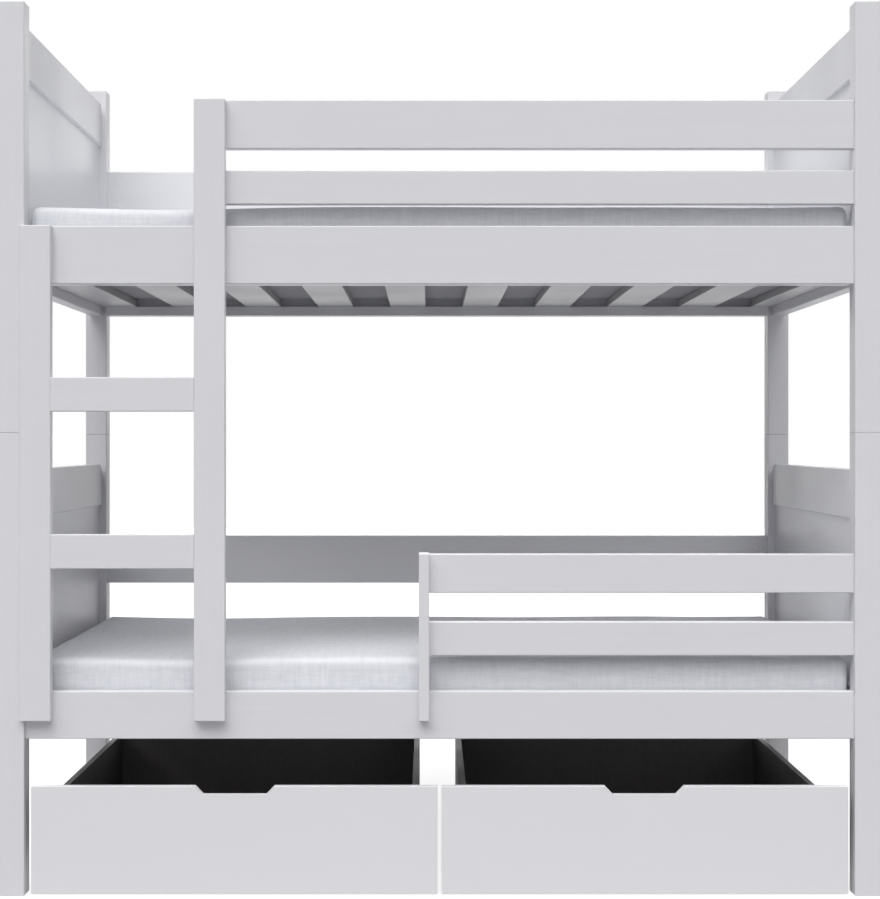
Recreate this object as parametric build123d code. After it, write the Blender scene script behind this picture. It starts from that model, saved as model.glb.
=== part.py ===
from build123d import *
import os
from collections import namedtuple
from math import cos, radians, sin

# Children's bunk bed: two single beds stacked on pins, with a fixed ladder, guard boards,
# slats, mattresses and two drawers that roll out on castors.
# Millimetres. +X runs to the right along the bed, +Y from the ladder side to the wall side,
# +Z up. The origin is on the floor, in the middle of the whole bed seen from above.

# Posts
sleep_length = 1600.0       # clear length between the posts
bed_depth = 900.0           # over the front and back faces of the posts
post_wide = 50.0
post_deep = 45.0
lower_post_high = 893.0
upper_post_high = 830.0
post_end_ease = 0.6         # small chamfer that shows the joint of the two posts as a line

# Stacking pins between lower and upper posts
pin_radius = 8.0
pin_length = 80.0
pin_ease = 1.0
pin_play = 0.1

# Boards: side rails, guards and ladder are all cut from one board thickness
board_thick = 22.0
board_setback = 10.0        # board faces lie this far inside the posts' outer faces
edge_round = 2.0            # eased long edges of posts and boards

# Side rails
lower_rail_low = 301.0      # floor to the lower rail
lower_rail_high = 92.0
upper_rail_rise = 287.0     # joint of the posts to the upper rail
upper_rail_high = 112.0

# End frames: top rail, bottom rail and panel between each pair of posts
end_rail_thick = 30.0
end_top_rail_high = 98.0
end_corner_round = 30.0     # rounded upper corners of the top rail
lower_end_drop = 72.0       # top of the lower posts down to the top rail
upper_end_drop = 34.0       # top of the upper posts down to the top rail
panel_thick = 14.0
groove_deep = 10.0          # grooves in posts and rails that hold the panel
groove_play = 0.2
tenon_thick = 14.0
tenon_long = 15.0
tenon_shoulder = 6.0
tenon_play = 0.15

# Slats and the ledgers that carry them
ledger_wide = 22.0
ledger_high = 21.0
ledger_end_play = 1.0
slat_thick = 18.0
slat_wide = 85.0
slat_pitch = 174.2
slat_end_play = 1.0         # slat ends to the side rails, and end slats to the end frames
least_slat = 30.0           # a last slat narrower than this is left out

# Mattresses
mattress_thick = 112.0
mattress_end_play = 3.0
mattress_side_play = 12.0
mattress_lift = 0.3         # clearance over the slats
mattress_corner = 45.0      # corner radius seen from above
mattress_edge = 16.0        # rounding of the upper and lower edges
mattress_waist = 2.5        # how far the sides are drawn in between the edges
mattress_draw = 3.0         # how far the sides are drawn in between the corners
mattress_crown = 5.0
mattress_crown_inset = 110.0

# Upper guard at the ladder side
guard_gap = 42.0
upper_guard_low_high = 65.0
upper_guard_top_high = 94.0

# Lower guard at the ladder side
lower_guard_gap = 69.0      # rail to the low board
lower_guard_between = 56.0  # low board to the top board
lower_guard_low_high = 65.0
lower_guard_top_high = 75.0
stile_wide = 20.0
stile_right = -20.0         # right face of the stile, from the middle of the bed
stile_rise = 2.0            # stile above the top board

# Guards at the wall side
back_guard_high = 114.0
lower_back_guard_gap = 140.0
upper_back_guard_gap = 124.0

# Ladder
upright_wide = 60.0
rung_clear = 275.0          # between the uprights
rung_high = 66.0
ladder_lap = 7.0            # the outer upright laps the post's face by this much
lap_play = 0.3
ladder_foot_rise = 37.0     # lower edge of the lower rail up to the ladder's foot
ladder_top_drop = 1.0       # uprights end this far below the board they stand against
first_rung_rise = 304.0     # lower rail's top to the first rung's top
rung_pitch = 302.0
rung_tenon_long = 20.0
rung_tenon_thick = 10.0

# Bed bolts and barrel nuts
bolt_radius = 3.0
bolt_play = 0.5
bolt_head_radius = 6.5
bolt_head_high = 5.0
bolt_head_play = 0.5
bolt_sunk = 7.0             # depth of the counterbore in the post
bolt_past_nut = 8.0
bolt_edge = 30.0            # bolt to the nearer edge of the board
socket_radius = 2.3
socket_deep = 3.0
nut_radius = 5.0
nut_length = 16.0
nut_setback = 30.0          # end of the board to the nut
nut_play = 0.1
thread_play = 0.05

# Wood screws
screw_radius = 2.0
screw_length = 35.0
screw_head_radius = 4.0
screw_point = 4.0
screw_play = 0.1
screw_top_edge = 14.0       # first screw below a board's upper edge
screw_pitch = 26.0          # from the first to the second
guard_screw_pitch = 30.0    # side by side, where a guard board meets the upright
ledger_screw_step = 2       # a ledger screw in every second gap between slats

# Drawers
drawer_post_gap = 13.0
drawer_middle_gap = 8.0
front_low = 4.5             # drawer front above the floor
front_high = 206.5
front_thick = 18.0
front_ease = 1.0
handle_top_wide = 154.0
handle_low_wide = 122.0
handle_deep = 16.5
box_inset = 37.5            # end of the drawer front to the side board
box_board = 12.0
box_rim_drop = 20.0         # top of the front down to the rim of the box
drawer_depth = 730.0
housing_deep = 8.0          # side and bottom boards are let into the front
housing_play = 0.15
box_screw_inset = 60.0
back_screw_edge = 35.0

# Castors
wheel_radius = 17.0
wheel_wide = 12.0
wheel_ease = 1.5
wheel_recess = 2.0
wheel_hub_radius = 6.0
wheel_rim_radius = 13.5
wheel_side_gap = 1.0
wheel_top_gap = 2.0
axle_radius = 2.5
axle_play = 0.05
axle_head_radius = 4.0
axle_head_high = 1.5
castor_sheet = 2.0
castor_plate_long = 44.0
castor_plate_wide = 34.0
castor_cheek_radius = 8.0
castor_inset_x = 45.0       # side board to the wheel
castor_inset_y = 70.0       # front and back boards to the wheel

# Sizes worked out from those above
half_sleep = sleep_length / 2
front_proud = board_thick - board_setback
front_plane = -(bed_depth + front_proud) / 2 + front_proud
back_plane = front_plane + bed_depth
board_back = board_setback + board_thick
board_middle = board_setback + board_thick / 2
post_centre_x = half_sleep + post_wide / 2
end_inner_x = post_centre_x - end_rail_thick / 2
end_outer_x = post_centre_x + end_rail_thick / 2
bolt_tip_inset = nut_setback + bolt_past_nut
box_low = 2 * wheel_radius + wheel_top_gap + castor_sheet
box_rim = front_low + front_high - box_rim_drop

Level = namedtuple("Level", "foot head rail_low rail_high end_top")
joint_z = lower_post_high
levels = {
    "lower": Level(0.0, joint_z, lower_rail_low, lower_rail_high, joint_z - lower_end_drop),
    "upper": Level(joint_z, joint_z + upper_post_high, joint_z + upper_rail_rise, upper_rail_high,
                   joint_z + upper_post_high - upper_end_drop),
}

outer_upright_left = -half_sleep - ladder_lap
outer_upright_right = outer_upright_left + upright_wide
inner_upright_left = outer_upright_right + rung_clear
stile_left = stile_right - stile_wide


def rail_top(level):
    return levels[level].rail_low + levels[level].rail_high


ladder_foot = lower_rail_low + ladder_foot_rise
upper_low_board = rail_top("upper") + guard_gap
upper_top_board = upper_low_board + upper_guard_low_high + guard_gap
lower_low_board = rail_top("lower") + lower_guard_gap
lower_top_board = lower_low_board + lower_guard_low_high + lower_guard_between

# Each long board: which row of posts, lower edge, height, both ends, and how it is bolted
Board = namedtuple("Board", "row low high left right bolt_left bolts")
boards = {
    "lower_side_rail_front": Board("front", lower_rail_low, lower_rail_high,
                                   -half_sleep, half_sleep, True, 2),
    "lower_side_rail_back": Board("back", lower_rail_low, lower_rail_high,
                                  -half_sleep, half_sleep, True, 2),
    "upper_side_rail_front": Board("front", levels["upper"].rail_low, upper_rail_high,
                                   -half_sleep, half_sleep, True, 2),
    "upper_side_rail_back": Board("back", levels["upper"].rail_low, upper_rail_high,
                                  -half_sleep, half_sleep, True, 2),
    "lower_back_guard": Board("back", rail_top("lower") + lower_back_guard_gap, back_guard_high,
                              -half_sleep, half_sleep, True, 2),
    "upper_back_guard": Board("back", rail_top("upper") + upper_back_guard_gap, back_guard_high,
                              -half_sleep, half_sleep, True, 2),
    "upper_guard_low_board": Board("front", upper_low_board, upper_guard_low_high,
                                   inner_upright_left + edge_round, half_sleep, False, 1),
    "upper_guard_top_board": Board("front", upper_top_board, upper_guard_top_high,
                                   inner_upright_left + edge_round, half_sleep, False, 1),
    "lower_guard_low_board": Board("front", lower_low_board, lower_guard_low_high,
                                   stile_right, half_sleep, False, 1),
    "lower_guard_top_board": Board("front", lower_top_board, lower_guard_top_high,
                                   stile_right, half_sleep, False, 1),
}


def block(x0, x1, y0, y1, z0, z1):
    centre = Pos((x0 + x1) / 2, (y0 + y1) / 2, (z0 + z1) / 2)
    return centre * Box(abs(x1 - x0), abs(y1 - y0), abs(z1 - z0))


def eased(body, axis, radius=edge_round):
    return fillet(body.edges().filter_by(axis), radius)


def row_y(row, near, far):
    # From near to far behind the outer faces of the front or back row of posts
    if row == "front":
        return front_plane + near, front_plane + far
    return back_plane - far, back_plane - near


def side_x(side, near, far):
    # From near to far to one side of the middle: side is -1 on the left and 1 on the right
    return min(side * near, side * far), max(side * near, side * far)


def rod(radius, start, end):
    # A round bar between two points that differ along one axis
    start = Vector(*start)
    run = Vector(*end) - start
    return Plane(origin=start, z_dir=run) * Cylinder(
        radius, run.length, align=(Align.CENTER, Align.CENTER, Align.MIN))


def turned(points):
    # A solid of revolution about Z from points given as radius, height
    return revolve(Plane.XZ * make_face(Polyline(*points, close=True)), Axis.Z)


def touching(one, other):
    a = one.bounding_box()
    b = other.bounding_box()
    return (a.min.X < b.max.X and b.min.X < a.max.X
            and a.min.Y < b.max.Y and b.min.Y < a.max.Y
            and a.min.Z < b.max.Z and b.min.Z < a.max.Z)


def drilled(body, holes):
    near = [hole for hole in holes if touching(body, hole)]
    return body - near if near else body


# Bed bolts: each runs along X through a post into a board's end, and pulls on a barrel nut

def bolt_heights(board):
    if board.bolts == 1:
        return [board.low + board.high / 2]
    return [board.low + bolt_edge, board.low + board.high - bolt_edge]


def bolt_places():
    places = []
    for board in boards.values():
        sides = (-1, 1) if board.bolt_left else (1,)
        for side in sides:
            for height in bolt_heights(board):
                places.append((side, board.row, height))
    return places


def bolt_line(side, row, height, x):
    middle = sum(row_y(row, board_middle, board_middle)) / 2
    return (side * x, middle, height)


def bed_bolt(side, row, height):
    seat = half_sleep + post_wide - bolt_sunk
    shank = rod(bolt_radius, bolt_line(side, row, height, seat),
                bolt_line(side, row, height, half_sleep - bolt_tip_inset))
    head = rod(bolt_head_radius, bolt_line(side, row, height, seat),
               bolt_line(side, row, height, seat + bolt_head_high))
    face = Plane(origin=bolt_line(side, row, height, seat + bolt_head_high), z_dir=(-side, 0, 0))
    socket = face * extrude(RegularPolygon(socket_radius, 6), socket_deep)
    return shank + head - socket


def bolt_holes(side, row, height):
    bore = rod(bolt_radius + bolt_play, bolt_line(side, row, height, half_sleep + post_wide),
               bolt_line(side, row, height, half_sleep - bolt_tip_inset - bolt_play))
    recess = rod(bolt_head_radius + bolt_head_play,
                 bolt_line(side, row, height, half_sleep + post_wide - bolt_sunk),
                 bolt_line(side, row, height, half_sleep + post_wide + edge_round))
    return [bore + recess, nut_hole(side, row, height)]


def nut_ends(row, near, far, side, height):
    low, high = row_y(row, near, far)
    x = side * (half_sleep - nut_setback)
    return (x, low, height), (x, high, height)


def barrel_nut(side, row, height):
    start, end = nut_ends(row, board_middle - nut_length / 2, board_middle + nut_length / 2,
                          side, height)
    thread = rod(bolt_radius + thread_play,
                 bolt_line(side, row, height, half_sleep - nut_setback - 2 * nut_radius),
                 bolt_line(side, row, height, half_sleep - nut_setback + 2 * nut_radius))
    return rod(nut_radius, start, end) - thread


def nut_hole(side, row, height):
    # Drilled from the inner face of the board, so the outer face stays plain
    start, end = nut_ends(row, board_middle - nut_length / 2 - nut_play, board_back, side, height)
    return rod(nut_radius + nut_play, start, end)


# Wood screws: each is a point on a surface and the direction that it is driven in

def screw_shape(play):
    radius = screw_radius + play
    head = screw_head_radius + play
    return turned([(0, 0), (head, 0), (radius, -(head - radius)),
                   (radius, -(screw_length - screw_point)), (0, -(screw_length + play))])


screw_body = screw_shape(0)
screw_bore = screw_shape(screw_play)


def placed(shape, place):
    point, direction = place
    return Plane(origin=point, z_dir=[-part for part in direction]) * shape


# Slats

def slat_spans():
    # Left and right edges of each slat, laid at a steady pitch from the left end
    spans = []
    left = -end_inner_x
    while left < end_inner_x - least_slat:
        spans.append((left, min(left + slat_wide, end_inner_x)))
        left += slat_pitch
    return spans


def slat_low(level):
    return levels[level].rail_low + ledger_high


def deck_height(level):
    return slat_low(level) + slat_thick


def deck_screws():
    # Down through the slats into the ledgers, and through the ledgers into the side rails
    places = []
    spans = slat_spans()
    down = (0, 0, -1)
    for level in levels:
        middle_z = levels[level].rail_low + ledger_high / 2
        for row, outward in (("front", -1), ("back", 1)):
            near, far = row_y(row, board_back, board_back + ledger_wide)
            inner_face = far if outward < 0 else near
            for left, right in spans:
                places.append((((left + right) / 2, (near + far) / 2, deck_height(level)), down))
            for index in range(0, len(spans) - 1, ledger_screw_step):
                gap = (spans[index][1] + spans[index + 1][0]) / 2
                places.append(((gap, inner_face, middle_z), (0, outward, 0)))
    return places


def ladder_screws():
    # From behind through rails and guards into the uprights and the stile
    places = []
    back_face = front_plane + board_back
    forward = (0, -1, 0)
    outer = outer_upright_left + upright_wide / 2
    inner = inner_upright_left + upright_wide / 2
    stile = stile_right - stile_wide / 2
    for level, stands in (("lower", (outer, inner, stile)), ("upper", (outer, inner))):
        for x in stands:
            for drop in (screw_top_edge, screw_top_edge + screw_pitch):
                places.append(((x, back_face, rail_top(level) - drop), forward))
    for name in ("upper_guard_low_board", "upper_guard_top_board"):
        for shift in (-guard_screw_pitch / 2, guard_screw_pitch / 2):
            places.append(((inner + shift, back_face, board_centre(name)), forward))
    for name in ("lower_guard_low_board", "lower_guard_top_board"):
        places.append(((stile_left, front_plane + board_middle, board_centre(name)), (1, 0, 0)))
    return places


def board_centre(name):
    return boards[name].low + boards[name].high / 2


# Frame pieces

def tenon_span(level, rail):
    # Heights of the tenons on an end rail
    low, high = end_rail_span(level, rail)
    if rail == "top":
        return low + groove_deep + tenon_shoulder, high - end_corner_round - tenon_shoulder
    return low + tenon_shoulder, high - groove_deep - tenon_shoulder


def end_rail_span(level, rail):
    if rail == "top":
        return levels[level].end_top - end_top_rail_high, levels[level].end_top
    return levels[level].rail_low, rail_top(level)


def panel_span(level):
    return (end_rail_span(level, "bottom")[1] - groove_deep,
            end_rail_span(level, "top")[0] + groove_deep)


def centred(middle, thick):
    return middle - thick / 2, middle + thick / 2


def post(side, row, level, holes):
    here = levels[level]
    body = block(*side_x(side, half_sleep, half_sleep + post_wide), *row_y(row, 0, post_deep),
                 here.foot, here.head)
    body = eased(body, Axis.Z)
    ends = body.edges().group_by(Axis.Z)
    body = chamfer(ends[0] + ends[-1], post_end_ease)
    slots = [pin_hole(side, row)]
    for rail in ("top", "bottom"):
        low, high = tenon_span(level, rail)
        slots.append(block(*centred(side * post_centre_x, tenon_thick + 2 * tenon_play),
                           *row_y(row, post_deep - tenon_long - tenon_play, post_deep),
                           low - tenon_play, high + tenon_play))
    low, high = panel_span(level)
    slots.append(block(*centred(side * post_centre_x, panel_thick + 2 * groove_play),
                       *row_y(row, post_deep - groove_deep, post_deep), low, high + groove_play))
    return drilled(body - slots, holes)


def pin_centre(side, row):
    return side * post_centre_x, sum(row_y(row, 0, post_deep)) / 2


def stacking_pin(side, row):
    x, y = pin_centre(side, row)
    pin = rod(pin_radius, (x, y, joint_z - pin_length / 2), (x, y, joint_z + pin_length / 2))
    return chamfer(pin.edges().filter_by(GeomType.CIRCLE), pin_ease)


def pin_hole(side, row):
    x, y = pin_centre(side, row)
    reach = pin_length / 2 + pin_play
    return rod(pin_radius + pin_play, (x, y, joint_z - reach), (x, y, joint_z + reach))


def long_board(board, holes):
    body = block(board.left, board.right, *row_y(board.row, board_setback, board_back),
                 board.low, board.low + board.high)
    return drilled(eased(body, Axis.X), holes)


def with_tenons(rail, side, level, name):
    low, high = tenon_span(level, name)
    across = centred(side * post_centre_x, tenon_thick)
    start = front_plane + post_deep - tenon_long
    end = back_plane - post_deep + tenon_long
    # One bar through the rail leaves a tenon at both ends
    return rail + block(*across, start, end, low, high)


def panel_groove(side, low, high):
    return block(*centred(side * post_centre_x, panel_thick + 2 * groove_play),
                 front_plane + post_deep, back_plane - post_deep, low, high)


def end_top_rail(side, level):
    low, high = end_rail_span(level, "top")
    body = block(*side_x(side, end_inner_x, end_outer_x),
                 front_plane + post_deep, back_plane - post_deep, low, high)
    corners = body.edges().filter_by(Axis.X).group_by(Axis.Z)[-1]
    body = fillet(corners, end_corner_round)
    faces = body.edges().group_by(Axis.X)
    body = fillet(faces[0] + faces[-1], edge_round)
    body = with_tenons(body, side, level, "top")
    return body - panel_groove(side, low, low + groove_deep + groove_play)


def end_bottom_rail(side, level):
    low, high = end_rail_span(level, "bottom")
    body = block(*side_x(side, end_inner_x, end_outer_x),
                 front_plane + post_deep, back_plane - post_deep, low, high)
    body = with_tenons(eased(body, Axis.Y), side, level, "bottom")
    return body - panel_groove(side, high - groove_deep, high)


def end_panel(side, level):
    low, high = panel_span(level)
    return block(*centred(side * post_centre_x, panel_thick),
                 front_plane + post_deep - groove_deep + groove_play,
                 back_plane - post_deep + groove_deep - groove_play, low, high)


def ledgers(holes):
    strips = []
    for level in levels.values():
        for row in ("front", "back"):
            strip = block(-half_sleep + ledger_end_play, half_sleep - ledger_end_play,
                          *row_y(row, board_back, board_back + ledger_wide),
                          level.rail_low, level.rail_low + ledger_high)
            strips.append(drilled(strip, holes))
    return strips


def slats(level, holes):
    # The slats at both ends are notched round the posts
    corners = [block(*side_x(side, half_sleep - slat_end_play, half_sleep + post_wide),
                     *row_y(row, 0, post_deep + slat_end_play), slat_low(level), deck_height(level))
               for side in (-1, 1) for row in ("front", "back")]
    pieces = []
    for left, right in slat_spans():
        body = block(max(left, -end_inner_x + slat_end_play), min(right, end_inner_x - slat_end_play),
                     front_plane + board_back + slat_end_play,
                     back_plane - board_back - slat_end_play, slat_low(level), deck_height(level))
        body = eased(body, Axis.Y)
        pieces.append(drilled(drilled(body, corners), holes))
    return pieces


def mattress_outline(height, inset):
    # Sides are shallow arcs drawn in between the rounded corners
    a = half_sleep - mattress_end_play - inset
    b = bed_depth / 2 - board_back - mattress_side_play - inset
    r = mattress_corner - min(inset, mattress_edge)
    bend = r * (1 - sin(radians(45)))
    edges = []
    for turn in (0, 180):
        spin = Rot(0, 0, turn)
        edges.append(spin * ThreePointArc((-a + r, -b), (0, -b + mattress_draw), (a - r, -b)))
        edges.append(spin * ThreePointArc((a - r, -b), (a - bend, -b + bend), (a, -b + r)))
        edges.append(spin * ThreePointArc((a, -b + r), (a - mattress_draw, 0), (a, b - r)))
        edges.append(spin * ThreePointArc((a, b - r), (a - bend, b - bend), (a - r, b)))
    middle = (front_plane + back_plane) / 2
    return Pos(0, middle, height) * make_face(edges)


def mattress(level):
    low = deck_height(level) + mattress_lift
    high = low + mattress_thick - mattress_crown
    turns = [radians(angle) for angle in (0, 30, 60, 90)]
    layers = [(mattress_edge * (1 - cos(turn)), mattress_edge * (1 - sin(turn))) for turn in turns]
    sections = [mattress_outline(low + rise, inset) for rise, inset in layers]
    sections.append(mattress_outline((low + high) / 2, mattress_waist))
    sections += [mattress_outline(high - rise, inset) for rise, inset in reversed(layers)]
    sections.append(mattress_outline(high + mattress_crown, mattress_crown_inset))
    return loft(sections, ruled=True)


# Ladder and stile stand on the outer faces of the boards

def upright(left, top):
    body = block(left, left + upright_wide, front_plane - front_proud, front_plane + board_setback,
                 ladder_foot, top)
    body = fillet(body.edges(), edge_round)
    mortises = []
    for low, high in rung_spans():
        mortises.append(rung_tenons(low, high, tenon_play))
    return body - mortises


def rung_spans():
    first = rail_top("lower") + first_rung_rise
    return [(top - rung_high, top) for top in (first, first + rung_pitch)]


def rung_tenons(low, high, play):
    # One bar as long as the rung with both its tenons
    middle = front_plane - front_proud + board_thick / 2
    return block(outer_upright_right - rung_tenon_long - play,
                 inner_upright_left + rung_tenon_long + play,
                 *centred(middle, rung_tenon_thick + 2 * play),
                 low + tenon_shoulder - play, high - tenon_shoulder + play)


def rung(low, high):
    body = block(outer_upright_right, inner_upright_left,
                 front_plane - front_proud, front_plane + board_setback, low, high)
    return eased(body, Axis.X) + rung_tenons(low, high, 0)


def outer_upright(holes):
    # Rebated along its back so that it laps the face of the post
    rebate = block(outer_upright_left, -half_sleep + lap_play,
                   front_plane - lap_play, front_plane + board_setback,
                   ladder_foot, rail_top("upper"))
    body = upright(outer_upright_left, rail_top("upper") - ladder_top_drop) - rebate
    return drilled(body, holes)


def inner_upright(holes):
    top = upper_top_board + upper_guard_top_high - ladder_top_drop
    return drilled(upright(inner_upright_left, top), holes)


def guard_stile(holes):
    # Stands edge-on, notched over the lower rail
    top = lower_top_board + lower_guard_top_high + stile_rise
    body = block(stile_left, stile_right, front_plane - front_proud, front_plane + board_back,
                 ladder_foot, top)
    body = fillet(body.edges(), edge_round)
    notch = block(stile_left, stile_right, front_plane + board_setback, front_plane + board_back,
                  ladder_foot, rail_top("lower"))
    return drilled(body - notch, holes)


# Drawers

def drawer_span(side):
    return side_x(side, drawer_middle_gap / 2, half_sleep - drawer_post_gap)


def box_span(side):
    left, right = drawer_span(side)
    return left + box_inset, right - box_inset


def handle_cut(middle):
    top = front_low + front_high
    points = [(middle - handle_top_wide / 2, top), (middle - handle_low_wide / 2, top - handle_deep),
              (middle + handle_low_wide / 2, top - handle_deep), (middle + handle_top_wide / 2, top)]
    face = Plane.XZ * make_face(Polyline(*points, close=True))
    return extrude(Pos(0, front_plane + front_thick, 0) * face, front_thick)


def side_board(side, hand, play):
    # hand is -1 for the left board of the box and 1 for its right board
    left, right = box_span(side)
    x0, x1 = (left, left + box_board) if hand < 0 else (right - box_board, right)
    return block(x0 - play, x1 + play,
                 front_plane + front_thick - housing_deep - play, front_plane + drawer_depth,
                 box_low - play, box_rim + play)


def bottom_board(side, play):
    left, right = box_span(side)
    return block(left + box_board - play, right - box_board + play,
                 front_plane + front_thick - housing_deep - play,
                 front_plane + drawer_depth - box_board, box_low - play, box_low + box_board + play)


def drawer_screw_places(side):
    left, right = box_span(side)
    first = front_plane + front_thick + box_screw_inset
    last = front_plane + drawer_depth - box_board - box_screw_inset
    back_middle = front_plane + drawer_depth - box_board / 2
    bottom_middle = box_low + box_board / 2
    places = []
    for x, direction in ((left, (1, 0, 0)), (right, (-1, 0, 0))):
        for y in (first, (first + last) / 2, last):
            places.append(((x, y, bottom_middle), direction))
        for z in (box_low + box_board + back_screw_edge, box_rim - back_screw_edge):
            places.append(((x, back_middle, z), direction))
    return places


def castor_places(side):
    left, right = box_span(side)
    xs = (left + box_board + castor_inset_x, right - box_board - castor_inset_x)
    front = front_plane + front_thick + castor_inset_y
    rear = front_plane + drawer_depth - box_board - castor_inset_y
    return {"front": [(x, front) for x in xs], "rear": [(x, rear) for x in xs]}


def castor_frame(x, y):
    # A pressed fork with its plate under the bottom board, and the axle riveted through it
    inner = wheel_wide / 2 + wheel_side_gap
    outer = inner + castor_sheet
    under = box_low - castor_sheet
    fork = block(x - castor_plate_wide / 2, x + castor_plate_wide / 2,
                 y - castor_plate_long / 2, y + castor_plate_long / 2, under, box_low)
    for hand in (-1, 1):
        start = (x + hand * inner, y, wheel_radius)
        end = (x + hand * outer, y, wheel_radius)
        cheek = block(start[0], end[0], y - castor_cheek_radius, y + castor_cheek_radius,
                      wheel_radius, under)
        fork = fork + cheek + rod(castor_cheek_radius, start, end)
    reach = outer + axle_head_high
    fork = fork - rod(axle_radius + axle_play, (x - reach, y, wheel_radius),
                      (x + reach, y, wheel_radius))
    axle = rod(axle_radius, (x - reach, y, wheel_radius), (x + reach, y, wheel_radius))
    for hand in (-1, 1):
        axle = axle + rod(axle_head_radius, (x + hand * outer, y, wheel_radius),
                          (x + hand * reach, y, wheel_radius))
    return [fork, axle]


def castor_wheel(x, y):
    half = wheel_wide / 2
    tyre = rod(wheel_radius, (x - half, y, wheel_radius), (x + half, y, wheel_radius))
    tyre = fillet(tyre.edges().filter_by(GeomType.CIRCLE), wheel_ease)
    for hand in (-1, 1):
        start = (x + hand * (half - wheel_recess), y, wheel_radius)
        end = (x + hand * half, y, wheel_radius)
        tyre = tyre - (rod(wheel_rim_radius, start, end) - rod(wheel_hub_radius, start, end))
    return tyre - rod(axle_radius + axle_play, (x - half, y, wheel_radius),
                      (x + half, y, wheel_radius))


def drawer(side, name):
    left, right = drawer_span(side)
    places = drawer_screw_places(side)
    holes = [placed(screw_bore, place) for place in places]
    front = block(left, right, front_plane, front_plane + front_thick,
                  front_low, front_low + front_high)
    front = fillet(front.edges(), front_ease)
    housings = [side_board(side, -1, housing_play), side_board(side, 1, housing_play),
                bottom_board(side, housing_play)]
    front = front - handle_cut((left + right) / 2) - housings
    box_left, box_right = box_span(side)
    back = block(box_left + box_board, box_right - box_board,
                 front_plane + drawer_depth - box_board, front_plane + drawer_depth,
                 box_low, box_rim)
    castors = castor_places(side)
    frames = [piece for pair in castors.values() for x, y in pair for piece in castor_frame(x, y)]
    return {
        name + "_front": [front],
        name + "_side_left": [drilled(side_board(side, -1, 0), holes)],
        name + "_side_right": [drilled(side_board(side, 1, 0), holes)],
        name + "_back": [drilled(back, holes)],
        name + "_bottom": [drilled(bottom_board(side, 0), holes)],
        name + "_screws": [placed(screw_body, place) for place in places],
        name + "_castor_frames": frames,
        name + "_front_wheels": [castor_wheel(x, y) for x, y in castors["front"]],
        name + "_rear_wheels": [castor_wheel(x, y) for x, y in castors["rear"]],
    }


def bunk_bed():
    screws = deck_screws() + ladder_screws()
    holes = [placed(screw_bore, place) for place in screws]
    bolts = bolt_places()
    for place in bolts:
        holes += bolt_holes(*place)
    nodes = {}
    corners = [(side, hand, row) for side, hand in ((-1, "left"), (1, "right"))
               for row in ("front", "back")]
    for level in levels:
        for side, hand, row in corners:
            nodes[f"{level}_post_{row}_{hand}"] = [post(side, row, level, holes)]
        for side, hand in ((-1, "left"), (1, "right")):
            nodes[f"{level}_end_top_rail_{hand}"] = [end_top_rail(side, level)]
            nodes[f"{level}_end_panel_{hand}"] = [end_panel(side, level)]
        nodes[f"{level}_end_bottom_rails"] = [end_bottom_rail(side, level) for side in (-1, 1)]
        nodes[f"{level}_slats"] = slats(level, holes)
        nodes[f"{level}_mattress"] = [mattress(level)]
    for name, board in boards.items():
        nodes[name] = [long_board(board, holes)]
    nodes["slat_ledgers"] = ledgers(holes)
    nodes["lower_guard_stile"] = [guard_stile(holes)]
    nodes["ladder_outer_upright"] = [outer_upright(holes)]
    nodes["ladder_inner_upright"] = [inner_upright(holes)]
    for name, (low, high) in zip(("ladder_lower_rung", "ladder_upper_rung"), rung_spans()):
        nodes[name] = [rung(low, high)]
    nodes["stacking_pins"] = [stacking_pin(side, row) for side, hand, row in corners]
    nodes["bed_bolts"] = [bed_bolt(*place) for place in bolts]
    nodes["barrel_nuts"] = [barrel_nut(*place) for place in bolts]
    nodes["wood_screws"] = [placed(screw_body, place) for place in screws]
    nodes.update(drawer(-1, "drawer_left"))
    nodes.update(drawer(1, "drawer_right"))
    return nodes


os.makedirs("parts", exist_ok=True)
for node, pieces in bunk_bed().items():
    solids = [solid for piece in pieces for solid in piece.solids()]
    export_step(Compound(solids), f"parts/{node}.step")
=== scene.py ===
import math

import bmesh
import bpy
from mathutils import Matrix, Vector, noise
from mathutils.bvhtree import BVHTree


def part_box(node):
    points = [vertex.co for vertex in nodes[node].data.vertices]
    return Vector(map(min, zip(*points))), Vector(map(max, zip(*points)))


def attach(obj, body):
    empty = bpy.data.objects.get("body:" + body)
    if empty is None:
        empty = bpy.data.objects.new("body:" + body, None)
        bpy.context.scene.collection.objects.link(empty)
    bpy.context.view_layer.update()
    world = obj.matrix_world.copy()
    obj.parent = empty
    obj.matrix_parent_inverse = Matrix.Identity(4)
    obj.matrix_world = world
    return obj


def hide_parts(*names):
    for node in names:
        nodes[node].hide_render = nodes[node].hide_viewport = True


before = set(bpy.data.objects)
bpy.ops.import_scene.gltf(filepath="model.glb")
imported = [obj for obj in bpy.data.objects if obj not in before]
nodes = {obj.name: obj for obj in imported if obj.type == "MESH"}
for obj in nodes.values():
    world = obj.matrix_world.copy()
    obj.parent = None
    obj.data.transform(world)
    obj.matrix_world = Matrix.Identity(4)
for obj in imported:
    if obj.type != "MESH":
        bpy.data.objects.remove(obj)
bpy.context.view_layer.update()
print("bed frame loaded:", len(nodes), "nodes")


# Node trees

def addNode(tree, kind, inputs=None, **options):
    made = tree.nodes.new(kind)
    made.location = (190 * (len(tree.nodes) - 1), 0)
    for name, value in options.items():
        setattr(made, name, value)
    for name, value in (inputs or {}).items():
        if isinstance(value, bpy.types.NodeSocket):
            tree.links.new(value, made.inputs[name])
        else:
            made.inputs[name].default_value = value
    return made


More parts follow.
